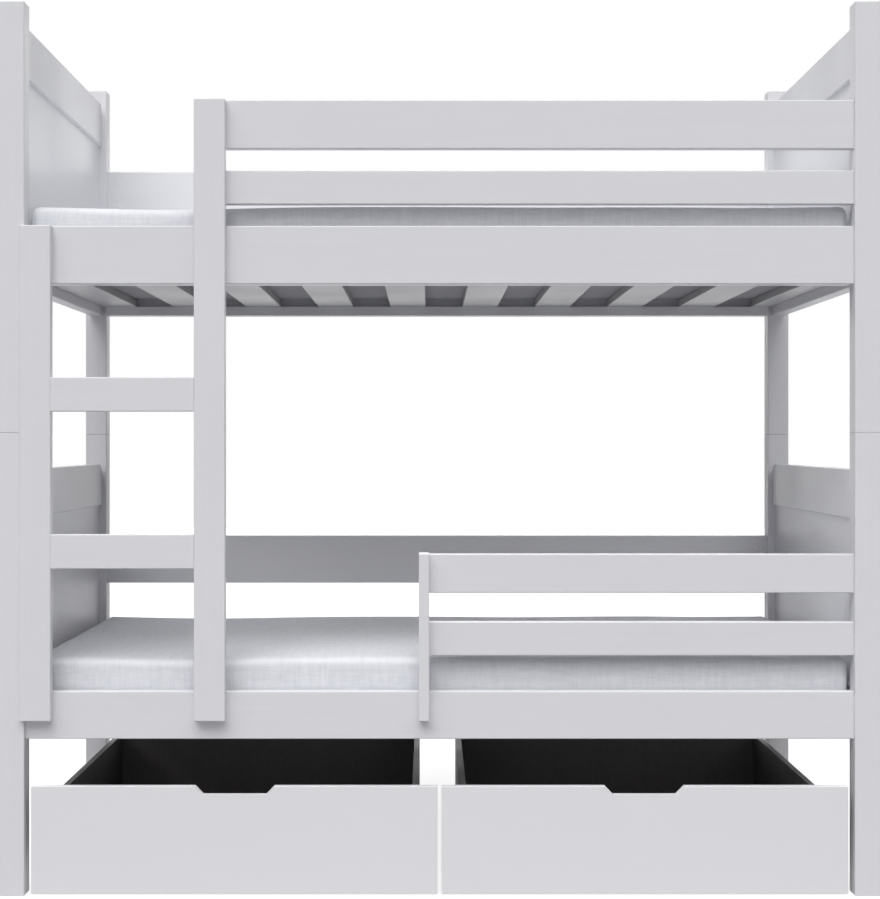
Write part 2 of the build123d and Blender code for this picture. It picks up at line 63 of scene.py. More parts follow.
def calc(tree, operation, first, second=0.0, third=0.0):
    inputs = {0: first, 1: second, 2: third}
    return addNode(tree, "ShaderNodeMath", inputs, operation=operation).outputs[0]


def remap(tree, value, low, high):
    # Spreads the part of a value from low to high over 0 to 1
    return addNode(tree, "ShaderNodeMapRange",
                   {"Value": value, "From Min": low, "From Max": high}).outputs[0]


def newGroup(name, kind, inputs, outputs):
    tree = bpy.data.node_groups.new(name, kind)
    for label, socketType, value in inputs:
        socket = tree.interface.new_socket(label, in_out="INPUT", socket_type=socketType)
        if value is not None:
            socket.default_value = value
    for label, socketType in outputs:
        tree.interface.new_socket(label, in_out="OUTPUT", socket_type=socketType)
    source = addNode(tree, "NodeGroupInput")
    return tree, source.outputs


def closeGroup(tree, results):
    end = addNode(tree, "NodeGroupOutput")
    for label, socket in results.items():
        tree.links.new(socket, end.inputs[label])
    return tree


# Shared effects, each a group that puts out masks and heights only

noiseMiddle = (0.3, 0.7)   # where nearly all of a noise's values lie
grainForm = {"bendSize": 5.0, "bend": 0.02, "streaks": (3.0, 0.6), "lines": (2.0, 0.5)}


def makeGrainGroup():
    # Pine grain under paint: long streaks with finer lines between them
    tree, given = newGroup(
        "pineGrain", "ShaderNodeTree",
        [("Place", "NodeSocketVector", None), ("Streaks", "NodeSocketFloat", 90.0),
         ("Lines", "NodeSocketFloat", 420.0), ("Lines Share", "NodeSocketFloat", 0.35)],
        [("Tone", "NodeSocketFloat"), ("Height", "NodeSocketFloat")])
    bend = addNode(tree, "ShaderNodeTexNoise",
                   {"Vector": given["Place"], "Scale": grainForm["bendSize"], "Detail": 1.0})
    lean = addNode(tree, "ShaderNodeVectorMath",
                   {0: bend.outputs["Color"], "Scale": grainForm["bend"]}, operation="SCALE")
    place = addNode(tree, "ShaderNodeVectorMath", {0: given["Place"], 1: lean.outputs[0]})
    both = []
    for size, form in (("Streaks", "streaks"), ("Lines", "lines")):
        detail, roughness = grainForm[form]
        noisy = addNode(tree, "ShaderNodeTexNoise",
                        {"Vector": place.outputs[0], "Scale": given[size], "Detail": detail,
                         "Roughness": roughness})
        both.append(noisy.outputs["Fac"])
    mixed = addNode(tree, "ShaderNodeMix",
                    {"Factor": given["Lines Share"], "A": both[0], "B": both[1]}).outputs[0]
    return closeGroup(tree, {"Tone": remap(tree, mixed, *noiseMiddle), "Height": mixed})


def makeHandlingGroup():
    # Slow uneven patches, from spraying, cleaning and touch
    tree, given = newGroup(
        "handling", "ShaderNodeTree",
        [("Place", "NodeSocketVector", None), ("Size", "NodeSocketFloat", 4.0),
         ("Fine", "NodeSocketFloat", 900.0)],
        [("Patches", "NodeSocketFloat"), ("Skin", "NodeSocketFloat")])
    patches = addNode(tree, "ShaderNodeTexNoise",
                      {"Vector": given["Place"], "Scale": given["Size"], "Detail": 3.0,
                       "Roughness": 0.55})
    spread = remap(tree, patches.outputs["Fac"], *noiseMiddle)
    skin = addNode(tree, "ShaderNodeTexNoise",
                   {"Vector": given["Place"], "Scale": given["Fine"], "Detail": 1.0})
    return closeGroup(tree, {"Patches": spread, "Skin": skin.outputs["Fac"]})


edgeForm = {
    "flat": 0.995, "round": 0.86,   # how far the rounded normal leans from the flat one
    "broken": (0.35, 0.65), "samples": 4,
}


def makeEdgeGroup():
    # Edges, where a board is rubbed; on the white paint the lighter edge is partly a painted
    # highlight
    tree, given = newGroup(
        "edgeRubAndHighlight", "ShaderNodeTree",
        [("Place", "NodeSocketVector", None), ("Reach", "NodeSocketFloat", 0.002),
         ("Break", "NodeSocketFloat", 60.0)],
        [("Edge", "NodeSocketFloat")])
    rounded = addNode(tree, "ShaderNodeBevel", {"Radius": given["Reach"]},
                      samples=edgeForm["samples"])
    flat = addNode(tree, "ShaderNodeNewGeometry")
    along = addNode(tree, "ShaderNodeVectorMath",
                    {0: rounded.outputs[0], 1: flat.outputs["Normal"]}, operation="DOT_PRODUCT")
    turned = remap(tree, along.outputs["Value"], edgeForm["flat"], edgeForm["round"])
    broken = addNode(tree, "ShaderNodeTexNoise",
                     {"Vector": given["Place"], "Scale": given["Break"], "Detail": 2.0})
    kept = remap(tree, broken.outputs["Fac"], *edgeForm["broken"])
    return closeGroup(tree, {"Edge": calc(tree, "MULTIPLY", turned, kept)})


weaving = {
    "stretch": 0.11,   # a slub's thickness as a share of its length
    "coarser": 0.32,   # the scale of a second, larger set of slubs
    "steepness": 4.0,   # how soon one plane's weave gives way to the next round a corner
}


def weaveOnPlane(tree, across, along, pitch, slub):
    # Over-and-under threads, with slubs where a thread is thicker for a stretch
    turn = calc(tree, "DIVIDE", 2 * math.pi, pitch)
    over = calc(tree, "SINE", calc(tree, "MULTIPLY", across, turn))
    under = calc(tree, "SINE", calc(tree, "MULTIPLY", along, turn))
    threads = calc(tree, "MULTIPLY_ADD", calc(tree, "MULTIPLY", over, under), 0.5, 0.5)
    slubs = []
    for long, short in ((across, along), (along, across)):
        place = addNode(tree, "ShaderNodeCombineXYZ",
                        {"X": calc(tree, "MULTIPLY", long, weaving["stretch"]), "Y": short})
        for scale in (slub, calc(tree, "MULTIPLY", slub, weaving["coarser"])):
            thick = addNode(tree, "ShaderNodeTexNoise",
                            {"Vector": place.outputs[0], "Scale": scale, "Detail": 2.0,
                             "Roughness": 0.6}, noise_dimensions="2D")
            slubs.append(thick.outputs["Fac"])
    total = slubs[0]
    for more in slubs[1:]:
        total = calc(tree, "ADD", total, more)
    return threads, calc(tree, "MULTIPLY", total, 1 / len(slubs))


def makeWeaveGroup():
    # The weave is laid on three planes and shown by the way the cloth faces
    tree, given = newGroup(
        "slubWeave", "ShaderNodeTree",
        [("Place", "NodeSocketVector", None), ("Facing", "NodeSocketVector", None),
         ("Pitch", "NodeSocketFloat", 0.0016), ("Slub", "NodeSocketFloat", 620.0)],
        [("Threads", "NodeSocketFloat"), ("Slubs", "NodeSocketFloat")])
    place = addNode(tree, "ShaderNodeSeparateXYZ", {"Vector": given["Place"]}).outputs
    facing = addNode(tree, "ShaderNodeSeparateXYZ", {"Vector": given["Facing"]}).outputs
    shares = [calc(tree, "POWER", calc(tree, "ABSOLUTE", facing[axis]), weaving["steepness"])
              for axis in range(3)]
    whole = calc(tree, "ADD", calc(tree, "ADD", shares[0], shares[1]), shares[2])
    totals = [None, None]
    for axis, (across, along) in enumerate(((1, 2), (0, 2), (0, 1))):
        parts = weaveOnPlane(tree, place[across], place[along], given["Pitch"], given["Slub"])
        for number, part in enumerate(parts):
            weighed = calc(tree, "MULTIPLY", part, shares[axis])
            total = totals[number]
            totals[number] = weighed if total is None else calc(tree, "ADD", total, weighed)
    threads, slubs = [calc(tree, "DIVIDE", total, whole) for total in totals]
    return closeGroup(tree, {"Threads": threads, "Slubs": slubs})


pineGrain = makeGrainGroup()
handling = makeHandlingGroup()
edgeRubAndHighlight = makeEdgeGroup()
slubWeave = makeWeaveGroup()
print("shared effects made")


# Materials

def newMaterial(name, **fixed):
    material = bpy.data.materials.new(name)
    material.use_nodes = True
    tree = material.node_tree
    tree.nodes.clear()
    skin = addNode(tree, "ShaderNodeBsdfPrincipled")
    end = addNode(tree, "ShaderNodeOutputMaterial")
    tree.links.new(skin.outputs["BSDF"], end.inputs["Surface"])
    for label, value in fixed.items():
        skin.inputs[label.replace("_", " ")].default_value = value
    return material, tree, skin


def place3d(tree, scale=(1.0, 1.0, 1.0)):
    spot = addNode(tree, "ShaderNodeTexCoord")
    return addNode(tree, "ShaderNodeMapping",
                   {"Vector": spot.outputs["Object"], "Scale": scale}).outputs[0]


def addEffect(tree, group, inputs):
    return addNode(tree, "ShaderNodeGroup", inputs, node_tree=group).outputs


def tint(tree, colour, darker, amount, share):
    # The colour, moved towards a darker or lighter one by a mask
    made = addNode(tree, "ShaderNodeMix",
                   {"Factor": calc(tree, "MULTIPLY", amount, share)}, data_type="RGBA")
    for label, value in (("A_Color", colour), ("B_Color", darker)):
        socket = next(s for s in made.inputs if s.identifier == label)
        if isinstance(value, bpy.types.NodeSocket):
            tree.links.new(value, socket)
        else:
            socket.default_value = (*value, 1.0)
    return next(s for s in made.outputs if s.identifier == "Result_Color")


def setRoughness(tree, skin, mask, limits):
    low, high = limits
    rough = addNode(tree, "ShaderNodeMapRange", {"Value": mask, "To Min": low, "To Max": high})
    tree.links.new(rough.outputs[0], skin.inputs["Roughness"])


def bump(tree, skin, height, deep, below=None):
    made = addNode(tree, "ShaderNodeBump", {"Height": height, "Distance": deep, "Strength": 1.0})
    if below is not None:
        tree.links.new(below, made.inputs["Normal"])
    tree.links.new(made.outputs[0], skin.inputs["Normal"])
    return made.outputs[0]


paint = {
    "colour": (0.75, 0.75, 0.78), "hollow": (0.63, 0.63, 0.66), "rubAndHighlight": (0.84, 0.84, 0.85),
    "grainShare": 0.16, "patchShare": 0.06, "rubAndHighlightShare": 0.35,
    "roughness": (0.36, 0.48), "grainDeep": 0.00022, "skinDeep": 0.00003,
    "along": {"X": (0.035, 1.0, 1.0), "Y": (1.0, 0.035, 1.0), "Z": (1.0, 1.0, 0.035)},
    "panelPaintedLightScale": 1.12, "slatPaintedShadeScale": 0.70,   # panels painted lighter, slats painted darker: painted light and painted shade
    "slatSidePaintedShade": (0.42, 0.42, 0.43),   # the slats' long sides, darker: painted shade
    "under": (0.95, 0.95, 0.96),   # the end rails' lower faces, lighter: painted light
    "joint": (0.16, 0.155, 0.16), "jointReach": 0.00035,   # a dark line of painted shade where one post stands on another
    "facingShare": 0.7,   # how nearly a face has to face a way to count as turned to it
}


def makePaint(axis, name="whitePaint", paintedLightScale=1.0, jointHeight=None, paintedLightAndShade=None):
    material, tree, skin = newMaterial(name + axis, IOR=1.46)
    plain, hollow, rubAndHighlight = [tuple(part * paintedLightScale for part in paint[tone])
                          for tone in ("colour", "hollow", "rubAndHighlight")]
    spot = place3d(tree)
    grain = addEffect(tree, pineGrain, {"Place": place3d(tree, paint["along"][axis])})
    touch = addEffect(tree, handling, {"Place": spot})
    edge = addEffect(tree, edgeRubAndHighlight, {"Place": spot})
    colour = tint(tree, plain, hollow, grain["Tone"], paint["grainShare"])
    colour = tint(tree, colour, hollow, touch["Patches"], paint["patchShare"])
    # lighter at the edges: partly rub wear, partly painted highlight
    colour = tint(tree, colour, rubAndHighlight, edge["Edge"], paint["rubAndHighlightShare"])
    # a dark line of painted shade at the height where the posts stack
    if jointHeight is not None:
        height = addNode(tree, "ShaderNodeSeparateXYZ", {"Vector": spot}).outputs["Z"]
        atJoint = calc(tree, "COMPARE", height, jointHeight, paint["jointReach"])
        colour = tint(tree, colour, paint["joint"], atJoint, 1.0)
    if paintedLightAndShade is not None:   # faces turned one way, or both ways, take a painted tone: painted light on the end rails' lower faces, painted shade on the slats' sides
        facing, bothWays, tone = paintedLightAndShade
        normal = addNode(tree, "ShaderNodeTexCoord").outputs["Normal"]
        turned = addNode(tree, "ShaderNodeVectorMath", {0: normal, 1: facing},
                         operation="DOT_PRODUCT").outputs["Value"]
        if bothWays:
            turned = calc(tree, "ABSOLUTE", turned)
        there = calc(tree, "GREATER_THAN", turned, paint["facingShare"])
        colour = tint(tree, colour, tone, there, 1.0)
    tree.links.new(colour, skin.inputs["Base Color"])
    setRoughness(tree, skin, touch["Patches"], paint["roughness"])
    below = bump(tree, skin, grain["Height"], paint["grainDeep"])
    bump(tree, skin, touch["Skin"], paint["skinDeep"], below=below)
    return material


lacquer = {
    "colour": (0.78, 0.77, 0.80), "hollow": (0.70, 0.69, 0.72), "rubAndHighlight": (0.86, 0.86, 0.87),
    "patchShare": 0.07, "rubAndHighlightShare": 0.4, "roughness": (0.30, 0.40), "skinDeep": 0.00002,
}


def makeLacquer():
    material, tree, skin = newMaterial("drawerLacquer", IOR=1.48)
    spot = place3d(tree)
    touch = addEffect(tree, handling, {"Place": spot, "Fine": 500.0})
    edge = addEffect(tree, edgeRubAndHighlight, {"Place": spot, "Reach": 0.0015})
    colour = tint(tree, lacquer["colour"], lacquer["hollow"], touch["Patches"],
                  lacquer["patchShare"])
    colour = tint(tree, colour, lacquer["rubAndHighlight"], edge["Edge"], lacquer["rubAndHighlightShare"])
    tree.links.new(colour, skin.inputs["Base Color"])
    setRoughness(tree, skin, touch["Patches"], lacquer["roughness"])
    bump(tree, skin, touch["Skin"], lacquer["skinDeep"])
    return material


board = {
    "colour": (0.180, 0.166, 0.172), "pore": (0.118, 0.108, 0.113), "rubAndHighlight": (0.27, 0.26, 0.27),
    "poreShare": 0.6, "rubAndHighlightShare": 0.5, "roughness": (0.42, 0.60), "poreDeep": 0.00012,
    "along": (1.0, 0.06, 0.4),
}


def makeBoard():
    material, tree, skin = newMaterial("blackBoard", IOR=1.5)
    spot = place3d(tree)
    pores = addEffect(tree, pineGrain,
                      {"Place": place3d(tree, board["along"]), "Streaks": 160.0, "Lines": 700.0})
    touch = addEffect(tree, handling, {"Place": spot, "Size": 6.0})
    edge = addEffect(tree, edgeRubAndHighlight, {"Place": spot, "Reach": 0.0012, "Break": 90.0})
    colour = tint(tree, board["colour"], board["pore"], pores["Tone"], board["poreShare"])
    colour = tint(tree, colour, board["rubAndHighlight"], edge["Edge"], board["rubAndHighlightShare"])
    tree.links.new(colour, skin.inputs["Base Color"])
    setRoughness(tree, skin, touch["Patches"], board["roughness"])
    bump(tree, skin, pores["Height"], board["poreDeep"])
    return material


cloth = {
    "hollow": (0.62, 0.64, 0.69), "slubLight": (0.82, 0.83, 0.87), "under": (0.36, 0.36, 0.385),
    "threadShare": 0.10, "slubShare": 0.50, "patchShare": 0.05, "roughness": (0.78, 0.92),
    "threadDeep": 0.00012, "slubDeep": 0.0005, "sheen": 0.25, "pitch": 0.0015, "slub": 300.0,
    "slubRange": (0.40, 0.62), "underFrom": (-0.75, -0.95),   # the cloth is darker grey where it faces down
}


def makeCloth():
    material, tree, skin = newMaterial("mattressCloth", Sheen_Weight=cloth["sheen"],
                                       Sheen_Roughness=0.5)
    spot = addNode(tree, "ShaderNodeTexCoord")
    weave = addEffect(tree, slubWeave,
                      {"Place": spot.outputs["Object"], "Facing": spot.outputs["Normal"],
                       "Pitch": cloth["pitch"], "Slub": cloth["slub"]})
    touch = addEffect(tree, handling, {"Place": spot.outputs["Object"], "Size": 5.0})
    slubs = remap(tree, weave["Slubs"], *cloth["slubRange"])
    colour = tint(tree, cloth["slubLight"], cloth["hollow"], slubs, cloth["slubShare"])
    colour = tint(tree, colour, cloth["hollow"], weave["Threads"], cloth["threadShare"])
    colour = tint(tree, colour, cloth["hollow"], touch["Patches"], cloth["patchShare"])
    facing = addNode(tree, "ShaderNodeSeparateXYZ", {"Vector": spot.outputs["Normal"]})
    below = remap(tree, facing.outputs["Z"], *cloth["underFrom"])
    colour = tint(tree, colour, cloth["under"], below, 1.0)
    tree.links.new(colour, skin.inputs["Base Color"])
    setRoughness(tree, skin, slubs, cloth["roughness"])
    below = bump(tree, skin, weave["Threads"], cloth["threadDeep"])
    bump(tree, skin, weave["Slubs"], cloth["slubDeep"], below=below)
    return material


thread = {
    "colour": (0.80, 0.81, 0.84), "fold": (0.62, 0.63, 0.67), "foldShare": 0.6,
    "roughness": 0.7, "sheen": 0.2, "skinDeep": 0.00004,
}


def makeThread():
    material, tree, skin = newMaterial("sewingThread", Roughness=thread["roughness"],
                                       Sheen_Weight=thread["sheen"])
    touch = addEffect(tree, handling, {"Place": place3d(tree), "Size": 900.0, "Fine": 4000.0})
    colour = tint(tree, thread["colour"], thread["fold"], touch["Patches"], thread["foldShare"])
    tree.links.new(colour, skin.inputs["Base Color"])
    bump(tree, skin, touch["Skin"], thread["skinDeep"])
    return material


capPlastic = {
    "colour": (0.77, 0.77, 0.80), "worn": (0.70, 0.70, 0.72), "wornShare": 0.4,
    "roughness": 0.38, "skinDeep": 0.00001,
}


def makeCapPlastic():
    material, tree, skin = newMaterial("capPlastic", Roughness=capPlastic["roughness"], IOR=1.5)
    touch = addEffect(tree, handling, {"Place": place3d(tree), "Size": 60.0, "Fine": 1500.0})
    colour = tint(tree, capPlastic["colour"], capPlastic["worn"], touch["Patches"],
                  capPlastic["wornShare"])
    tree.links.new(colour, skin.inputs["Base Color"])
    bump(tree, skin, touch["Skin"], capPlastic["skinDeep"])
    return material


zinc = {
    "colour": (0.62, 0.63, 0.65), "dull": (0.42, 0.43, 0.45), "dullShare": 0.7,
    "roughness": (0.28, 0.46), "skinDeep": 0.00001,
}


def makeZinc():
    material, tree, skin = newMaterial("zincSteel", Metallic=1.0)
    touch = addEffect(tree, handling, {"Place": place3d(tree), "Size": 160.0, "Fine": 2400.0})
    colour = tint(tree, zinc["colour"], zinc["dull"], touch["Patches"], zinc["dullShare"])
    tree.links.new(colour, skin.inputs["Base Color"])
    setRoughness(tree, skin, touch["Skin"], zinc["roughness"])
    bump(tree, skin, touch["Skin"], zinc["skinDeep"])
    return material


wheel = {
    "colour": (0.03, 0.03, 0.03), "worn": (0.075, 0.072, 0.07), "wornShare": 0.35,
    "rubAndHighlightShare": 0.8, "roughness": (0.40, 0.62), "skinDeep": 0.00002,
}


def makeWheelPlastic():
    material, tree, skin = newMaterial("castorBlack", IOR=1.5)
    spot = place3d(tree)
    touch = addEffect(tree, handling, {"Place": spot, "Size": 90.0, "Fine": 1800.0})
    edge = addEffect(tree, edgeRubAndHighlight, {"Place": spot, "Reach": 0.001, "Break": 300.0})
    colour = tint(tree, wheel["colour"], wheel["worn"], touch["Patches"], wheel["wornShare"])
    colour = tint(tree, colour, wheel["worn"], edge["Edge"], wheel["rubAndHighlightShare"])
    tree.links.new(colour, skin.inputs["Base Color"])
    setRoughness(tree, skin, touch["Patches"], wheel["roughness"])
    bump(tree, skin, touch["Skin"], wheel["skinDeep"])
    return material


beech = {
    "colour": (0.62, 0.44, 0.27), "fleck": (0.42, 0.26, 0.14), "fleckShare": 0.5,
    "roughness": 0.6, "fleckDeep": 0.0001,
}


def makeBeech():
    material, tree, skin = newMaterial("turnedBeech", Roughness=beech["roughness"])
    flecks = addEffect(tree, pineGrain,
                       {"Place": place3d(tree, paint["along"]["Z"]), "Streaks": 500.0,
                        "Lines": 1800.0})
    colour = tint(tree, beech["colour"], beech["fleck"], flecks["Tone"], beech["fleckShare"])
    tree.links.new(colour, skin.inputs["Base Color"])
    bump(tree, skin, flecks["Height"], beech["fleckDeep"])
    return material


paints = {axis: makePaint(axis) for axis in "XYZ"}
postPaint = makePaint("Z", "postPaint", jointHeight=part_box("lower_post_front_left")[1].z)
# the panels are painted lighter than the other boards: painted light
panelPaintedLight = makePaint("Y", "panelPaintedLight", paint["panelPaintedLightScale"])
# the slats are painted darker, and darker again on their long sides: painted shade
slatPaintedShade = makePaint("Y", "slatPaintedShade", paint["slatPaintedShadeScale"],
                      paintedLightAndShade=((1.0, 0.0, 0.0), True, paint["slatSidePaintedShade"]))
# the end top rails are lighter on their lower faces: painted light
endRailPaintedLight = makePaint("Y", "endRailPaintedLight",
                         paintedLightAndShade=((0.0, 0.0, -1.0), False, paint["under"]))
materials = {
    "lacquer": makeLacquer(), "board": makeBoard(), "cloth": makeCloth(), "zinc": makeZinc(),
    "wheel": makeWheelPlastic(), "beech": makeBeech(), "thread": makeThread(),
    "capPlastic": makeCapPlastic(),
}
print("materials made:", len(bpy.data.materials))


# The frame's own nodes keep their shape and take a finish

finishes = {   # the end of a node's name, and its finish
    "_end_top_rail_left": endRailPaintedLight, "_end_top_rail_right": endRailPaintedLight,
    "_end_bottom_rails": paints["Y"], "_end_panel_left": panelPaintedLight,
    "_end_panel_right": panelPaintedLight, "_slats": slatPaintedShade,
    "_side_rail_front": paints["X"], "_side_rail_back": paints["X"], "_guard": paints["X"],
    "_board": paints["X"], "_rung": paints["X"], "_ledgers": paints["X"],
    "_upright": paints["Z"], "_stile": paints["Z"],
    "left_front": materials["lacquer"], "right_front": materials["lacquer"],
    "_bottom": materials["board"], "left_back": materials["board"],
    "right_back": materials["board"], "_side_left": materials["board"],
    "_side_right": materials["board"],
    "_wheels": materials["wheel"], "_castor_frames": materials["zinc"],
    "_bolts": materials["zinc"], "_nuts": materials["zinc"], "_screws": materials["zinc"],
    "_pins": materials["beech"], "_mattress": materials["cloth"],
}


def finishFor(name):
    if "_post_" in name:
        return postPaint
    return next(finish for ending, finish in finishes.items() if name.endswith(ending))


def dress(piece, material):
    piece.data.materials.clear()
    piece.data.materials.append(material)


for name, piece in nodes.items():
    dress(piece, finishFor(name))
print("frame nodes finished")


# Geometry node trees for what repeats

def makeScrewTree():
    # Low dome heads with a cross cut into them, four to a castor plate
    tree, given = newGroup(
        "plateScrews", "GeometryNodeTree",
        [("Castors", "NodeSocketGeometry", None), ("Head Radius", "NodeSocketFloat", 0.003),
         ("Head Height", "NodeSocketFloat", 0.0015), ("Across", "NodeSocketFloat", 0.02),
         ("Along", "NodeSocketFloat", 0.03), ("Slot Wide", "NodeSocketFloat", 0.0007),
         ("Slot Share", "NodeSocketFloat", 1.15), ("Finish", "NodeSocketMaterial", None)],
        [("Screws", "NodeSocketGeometry")])
    ball = addNode(tree, "GeometryNodeMeshUVSphere", {"Segments": 18, "Rings": 8, "Radius": 1.0})
    size = addNode(tree, "ShaderNodeCombineXYZ",
                   {"X": given["Head Radius"], "Y": given["Head Radius"],
                    "Z": given["Head Height"]})
    head = addNode(tree, "GeometryNodeTransform",
                   {"Geometry": ball.outputs["Mesh"], "Scale": size.outputs[0]})
    cross = addNode(tree, "GeometryNodeJoinGeometry")
    slotLong = calc(tree, "MULTIPLY", given["Head Radius"], given["Slot Share"])
    for longAxis, shortAxis in (("X", "Y"), ("Y", "X")):
        slotSize = addNode(tree, "ShaderNodeCombineXYZ",
                           {longAxis: slotLong, shortAxis: given["Slot Wide"],
                            "Z": given["Head Height"]})
        bar = addNode(tree, "GeometryNodeMeshCube", {"Size": slotSize.outputs[0]})
        tree.links.new(bar.outputs["Mesh"], cross.inputs[0])
    below = addNode(tree, "ShaderNodeCombineXYZ",
                    {"Z": calc(tree, "MULTIPLY", given["Head Height"], -1.0)})
    lowered = addNode(tree, "GeometryNodeTransform",
                      {"Geometry": cross.outputs[0], "Translation": below.outputs[0]})
    cut = addNode(tree, "GeometryNodeMeshBoolean", operation="DIFFERENCE")
    tree.links.new(head.outputs[0], cut.inputs["Mesh 1"])
    tree.links.new(lowered.outputs[0], cut.inputs["Mesh 2"])
    corners = addNode(tree, "GeometryNodeMeshGrid",
                      {"Size X": given["Across"], "Size Y": given["Along"], "Vertices X": 2,
                       "Vertices Y": 2})
    plates = addNode(tree, "GeometryNodeInstanceOnPoints",
                     {"Points": given["Castors"], "Instance": corners.outputs["Mesh"]})
    spots = addNode(tree, "GeometryNodeRealizeInstances", {"Geometry": plates.outputs[0]})
    turn = addNode(tree, "FunctionNodeRandomValue", {"Seed": 4}, data_type="FLOAT_VECTOR")
    turn.inputs["Max"].default_value = (0.0, 0.0, math.pi)
    screws = addNode(tree, "GeometryNodeInstanceOnPoints",
                     {"Points": spots.outputs[0], "Instance": cut.outputs["Mesh"],
                      "Rotation": turn.outputs[0]})
    solid = addNode(tree, "GeometryNodeRealizeInstances", {"Geometry": screws.outputs[0]})
    done = addNode(tree, "GeometryNodeSetMaterial",
                   {"Geometry": solid.outputs[0], "Material": given["Finish"]})
    return closeGroup(tree, {"Screws": done.outputs[0]})


def makeCapTree():
    # Low round covers, one on each point, turned to face outwards
    tree, given = newGroup(
        "coverCaps", "GeometryNodeTree",
        [("Spots", "NodeSocketGeometry", None), ("Flatness", "NodeSocketFloat", 0.2),
         ("Finish", "NodeSocketMaterial", None)],
        [("Caps", "NodeSocketGeometry")])
    ball = addNode(tree, "GeometryNodeMeshUVSphere", {"Segments": 20, "Rings": 8, "Radius": 1.0})
    size = addNode(tree, "ShaderNodeCombineXYZ", {"X": 1.0, "Y": 1.0, "Z": given["Flatness"]})
    cap = addNode(tree, "GeometryNodeTransform",
                  {"Geometry": ball.outputs["Mesh"], "Scale": size.outputs[0]})
    facing = addNode(tree, "GeometryNodeInputNamedAttribute", {"Name": "outward"},
                     data_type="FLOAT_VECTOR")
    turn = addNode(tree, "FunctionNodeAlignRotationToVector",
                   {"Vector": facing.outputs["Attribute"]}, axis="Z")
    reach = addNode(tree, "GeometryNodeInputNamedAttribute", {"Name": "reach"},
                    data_type="FLOAT")
    placed = addNode(tree, "GeometryNodeInstanceOnPoints",
                     {"Points": given["Spots"], "Instance": cap.outputs[0],
                      "Rotation": turn.outputs[0], "Scale": reach.outputs["Attribute"]})
    solid = addNode(tree, "GeometryNodeRealizeInstances", {"Geometry": placed.outputs[0]})
    done = addNode(tree, "GeometryNodeSetMaterial",
                   {"Geometry": solid.outputs[0], "Material": given["Finish"]})
    return closeGroup(tree, {"Caps": done.outputs[0]})


def makeSeamTree():
    # A turned ridge along the seam, with a row of stitches on each side of it
    tree, given = newGroup(
        "coverSeam", "GeometryNodeTree",
        [("Seam", "NodeSocketGeometry", None), ("Ridge Radius", "NodeSocketFloat", 0.0008),
         ("Stitch Pitch", "NodeSocketFloat", 0.005), ("Stitch Long", "NodeSocketFloat", 0.003),
         ("Thread Radius", "NodeSocketFloat", 0.0004), ("Aside", "NodeSocketFloat", 0.0024),
         ("Cloth", "NodeSocketMaterial", None), ("Thread", "NodeSocketMaterial", None)],
        [("Sewn", "NodeSocketGeometry")])
    line = addNode(tree, "GeometryNodeMeshToCurve", {"Mesh": given["Seam"]})
    profile = addNode(tree, "GeometryNodeCurvePrimitiveCircle",
                      {"Resolution": 8, "Radius": given["Ridge Radius"]})
    tube = addNode(tree, "GeometryNodeCurveToMesh",
                   {"Curve": line.outputs[0], "Profile Curve": profile.outputs["Curve"],
                    "Fill Caps": True})
    ridge = addNode(tree, "GeometryNodeSetMaterial",
                    {"Geometry": tube.outputs[0], "Material": given["Cloth"]})
    both = addNode(tree, "GeometryNodeJoinGeometry")
    tree.links.new(ridge.outputs[0], both.inputs[0])
    steps = addNode(tree, "GeometryNodeResampleCurve",
                    {"Curve": line.outputs[0], "Length": given["Stitch Pitch"]}, mode="LENGTH")
    ball = addNode(tree, "GeometryNodeMeshUVSphere", {"Segments": 6, "Rings": 5, "Radius": 1.0})
    size = addNode(tree, "ShaderNodeCombineXYZ",
                   {"X": given["Thread Radius"], "Y": given["Thread Radius"],
                    "Z": calc(tree, "MULTIPLY", given["Stitch Long"], 0.5)})
    stitch = addNode(tree, "GeometryNodeTransform",
                     {"Geometry": ball.outputs["Mesh"], "Scale": size.outputs[0]})
    tangent = addNode(tree, "GeometryNodeInputTangent")
    outward = addNode(tree, "GeometryNodeInputNamedAttribute", {"Name": "outward"},
                      data_type="FLOAT_VECTOR")
    side = addNode(tree, "ShaderNodeVectorMath",
                   {0: tangent.outputs[0], 1: outward.outputs["Attribute"]},
                   operation="CROSS_PRODUCT")
    along = addNode(tree, "FunctionNodeAlignRotationToVector",
                    {"Vector": tangent.outputs[0]}, axis="Z")
    for hand in (-1.0, 1.0):
        away = addNode(tree, "ShaderNodeVectorMath",
                       {0: side.outputs[0], "Scale": calc(tree, "MULTIPLY", given["Aside"], hand)},
                       operation="SCALE")
        row = addNode(tree, "GeometryNodeSetPosition",
                      {"Geometry": steps.outputs[0], "Offset": away.outputs[0]})
        sewn = addNode(tree, "GeometryNodeInstanceOnPoints",
                       {"Points": row.outputs[0], "Instance": stitch.outputs[0],
                        "Rotation": along.outputs[0]})
        solid = addNode(tree, "GeometryNodeRealizeInstances", {"Geometry": sewn.outputs[0]})
        threads = addNode(tree, "GeometryNodeSetMaterial",
                          {"Geometry": solid.outputs[0], "Material": given["Thread"]})
        tree.links.new(threads.outputs[0], both.inputs[0])
    return closeGroup(tree, {"Sewn": both.outputs[0]})


